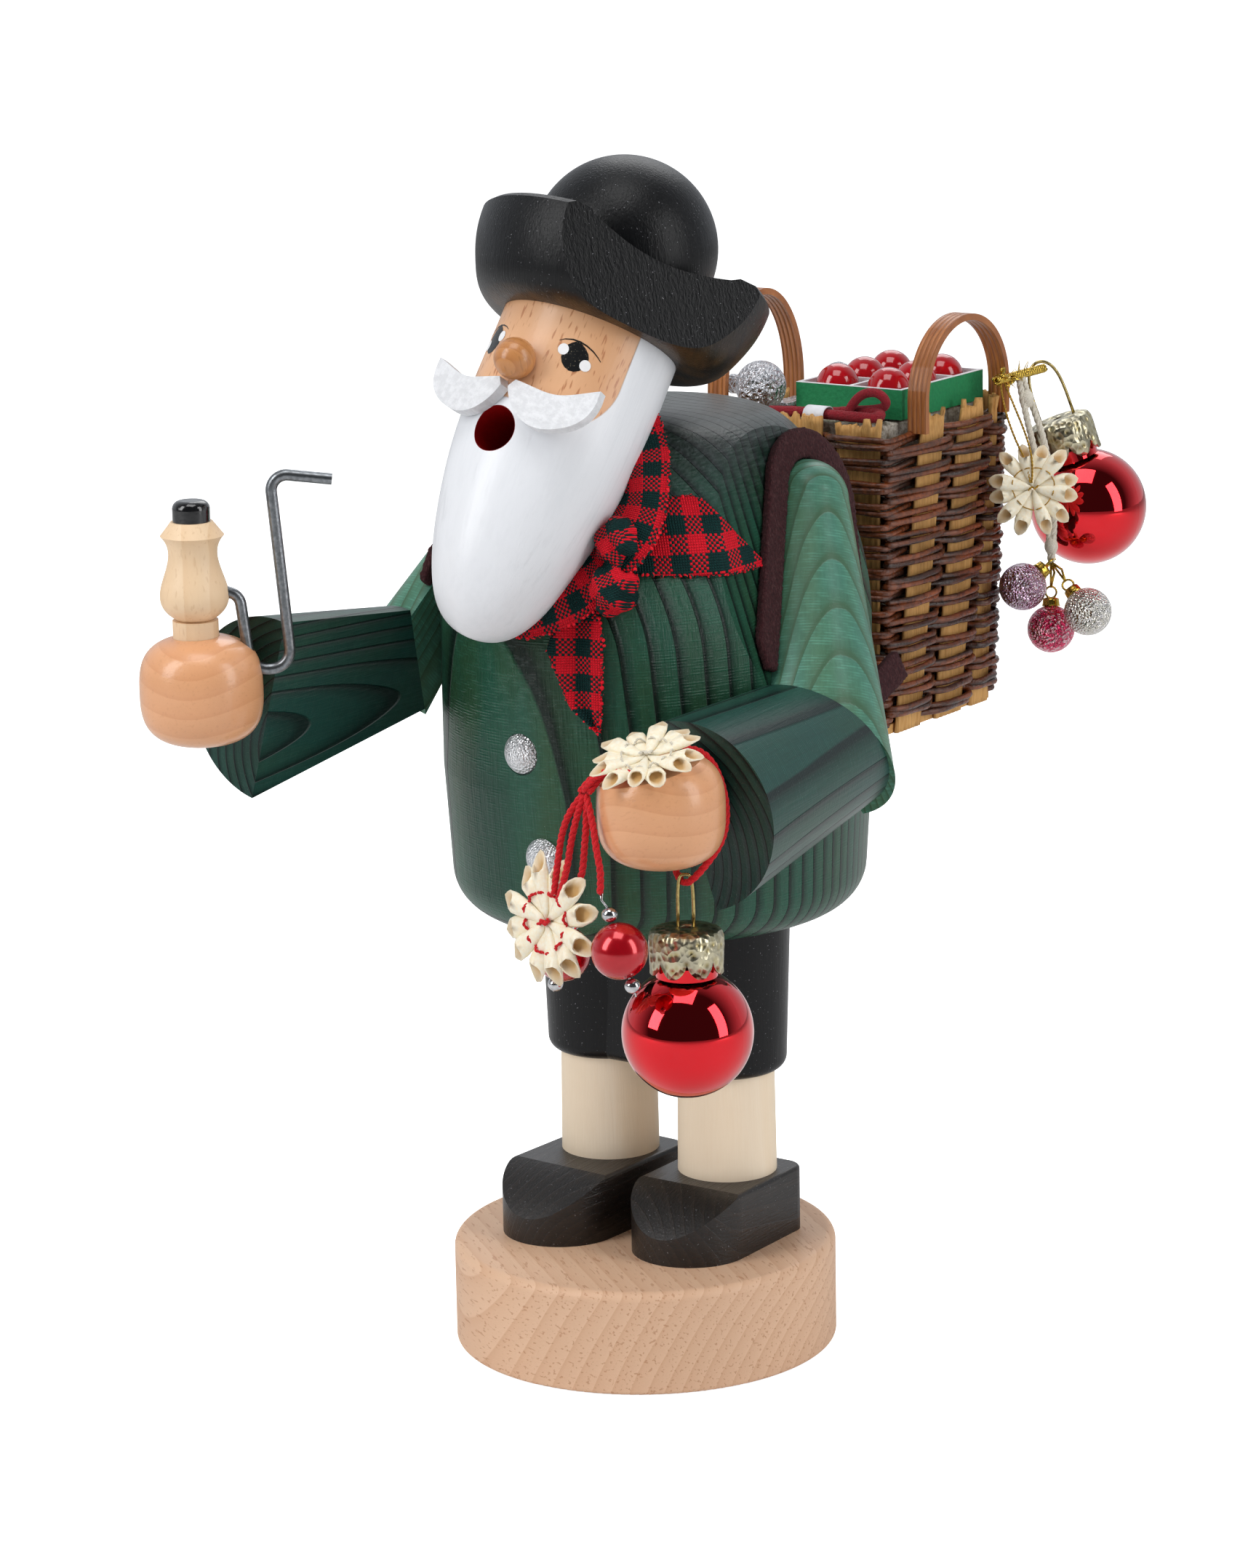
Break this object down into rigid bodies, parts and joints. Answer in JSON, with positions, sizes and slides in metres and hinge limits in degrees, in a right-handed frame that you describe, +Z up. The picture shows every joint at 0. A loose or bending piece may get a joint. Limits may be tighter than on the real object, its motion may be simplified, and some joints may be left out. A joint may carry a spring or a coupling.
{
  "type": "incense smoker",
  "caption": "turned and carved wooden pedlar whose hollow coat lifts off a peg to take an incense cone, with a pipe, a woven back basket and swinging tree ornaments",
  "frame": {"origin": "middle of the underside of the base disc", "axes": "+Z up, the figure faces -Y, its left hand is at +X"},
  "size_m": [0.0987, 0.1851, 0.1984],
  "materials": {
    "base_disc": "clear satin beech",
    "right_shoe": "black stain",
    "left_shoe": "black stain",
    "right_leg": "pale matt",
    "left_leg": "pale matt",
    "leg_dowels": "bare beech",
    "trousers": "black stain, matt",
    "spigot": "bare beech",
    "cone_plate": "tinned",
    "plate_nail": "plain",
    "torso": "dark green stain over brushed grain",
    "head": "clear beech face, white painted beard",
    "nose": "gloss",
    "right_moustache": "white paint",
    "left_moustache": "white paint",
    "hat": "black, matt",
    "right_upper_arm": "light green stain",
    "left_upper_arm": "light green stain",
    "right_forearm": "green stain",
    "left_forearm": "green stain",
    "right_hand": "gloss",
    "left_hand": "gloss",
    "body_dowels": "bare beech",
    "coat_buttons": "hammered",
    "pipe_bowl": "satin",
    "pipe_lid": "gloss black",
    "pipe_stem": "bright wire",
    "right_strap": "felt",
    "left_strap": "felt",
    "scarf_band": "woven gingham",
    "scarf_knot": "woven gingham",
    "scarf_tail_front": "woven gingham",
    "scarf_tail_side": "woven gingham",
    "basket_stakes": "split cane",
    "basket_weavers": "brown willow",
    "basket_floor": "thin board",
    "right_basket_handle": "split cane",
    "left_basket_handle": "split cane",
    "basket_packing": "crumpled packing",
    "bauble_tray": "green sides and white top",
    "tray_baubles": "gloss red",
    "silver_trinkets": "crinkled silver",
    "red_cord_bow": "red cord",
    "gold_tie": "gold thread",
    "hand_star": "straw",
    "hand_sling": "red yarn",
    "hand_bauble_ball": "mirror red",
    "hand_bauble_cap": "aged",
    "hand_bauble_wire": "thin wire",
    "charm_star": "straw",
    "charm_pearls": "pearl",
    "charm_strands": "red yarn",
    "rear_bauble_ball": "mirror red",
    "rear_bauble_cap": "aged",
    "rear_bauble_wire": "thin wire",
    "rear_star": "straw",
    "rear_star_thread": "gold thread",
    "cluster_cord": "white cotton",
    "glitter_balls": "glittered"
  },
  "bodies": {
    "stand": {"base_disc": "base_disc", "right_shoe": "right_shoe", "left_shoe": "left_shoe", "right_leg": "right_leg", "left_leg": "left_leg", "leg_dowels": "leg_dowels", "trousers": "trousers", "spigot": "spigot", "cone_plate": "cone_plate", "plate_nail": "plate_nail"},
    "figure": {"torso": "torso", "head": "head", "nose": "nose", "right_moustache": "right_moustache", "left_moustache": "left_moustache", "hat": "hat", "right_upper_arm": "right_upper_arm", "left_upper_arm": "left_upper_arm", "right_forearm": "right_forearm", "left_forearm": "left_forearm", "right_hand": "right_hand", "left_hand": "left_hand", "body_dowels": "body_dowels", "coat_buttons": "coat_buttons", "pipe_bowl": "pipe_bowl", "pipe_lid": "pipe_lid", "pipe_stem": "pipe_stem", "right_strap": "right_strap", "left_strap": "left_strap", "scarf_band": "scarf_band", "scarf_knot": "scarf_knot", "scarf_tail_front": "scarf_tail_front", "scarf_tail_side": "scarf_tail_side", "basket_stakes": "basket_stakes", "basket_weavers": "basket_weavers", "basket_floor": "basket_floor", "right_basket_handle": "right_basket_handle", "left_basket_handle": "left_basket_handle", "basket_packing": "basket_packing", "bauble_tray": "bauble_tray", "tray_baubles": "tray_baubles", "silver_trinkets": "silver_trinkets", "red_cord_bow": "red_cord_bow", "gold_tie": "gold_tie", "hand_star": "hand_star", "hand_sling": "hand_sling"},
    "hand_bauble": {"hand_bauble_ball": "hand_bauble_ball", "hand_bauble_cap": "hand_bauble_cap", "hand_bauble_wire": "hand_bauble_wire"},
    "charms": {"charm_star": "charm_star", "charm_pearls": "charm_pearls", "charm_strands": "charm_strands"},
    "rear_bauble": {"rear_bauble_ball": "rear_bauble_ball", "rear_bauble_cap": "rear_bauble_cap", "rear_bauble_wire": "rear_bauble_wire"},
    "rear_star": {"rear_star": "rear_star", "rear_star_thread": "rear_star_thread"},
    "cluster": {"cluster_cord": "cluster_cord", "glitter_balls": "glitter_balls"}
  },
  "joints": [
    {"name": "body_lift", "type": "slide", "parent": "stand", "child": "figure", "axis": [0, 0, 1], "range_m": [0, 0.055]},
    {"name": "hand_bauble_swing", "type": "hinge", "parent": "figure", "child": "hand_bauble", "pos_m": [0.03965, -0.04495, 0.0932], "axis": [1, 0, 0], "range_deg": [-12, 18]},
    {"name": "charms_swing", "type": "hinge", "parent": "figure", "child": "charms", "pos_m": [0.0287, -0.056, 0.1075], "axis": [1, 0, 0], "range_deg": [-20, 3]},
    {"name": "rear_bauble_swing", "type": "hinge", "parent": "figure", "child": "rear_bauble", "pos_m": [0.0213, 0.096, 0.152], "axis": [0, -1, 0], "range_deg": [0, 20]},
    {"name": "rear_star_swing", "type": "hinge", "parent": "figure", "child": "rear_star", "pos_m": [0.0213, 0.0826, 0.152], "axis": [0, -1, 0], "range_deg": [0, 20]},
    {"name": "cluster_swing", "type": "hinge", "parent": "figure", "child": "cluster", "pos_m": [0.0213, 0.0888, 0.152], "axis": [0, -1, 0], "range_deg": [0, 20]}
  ]
}
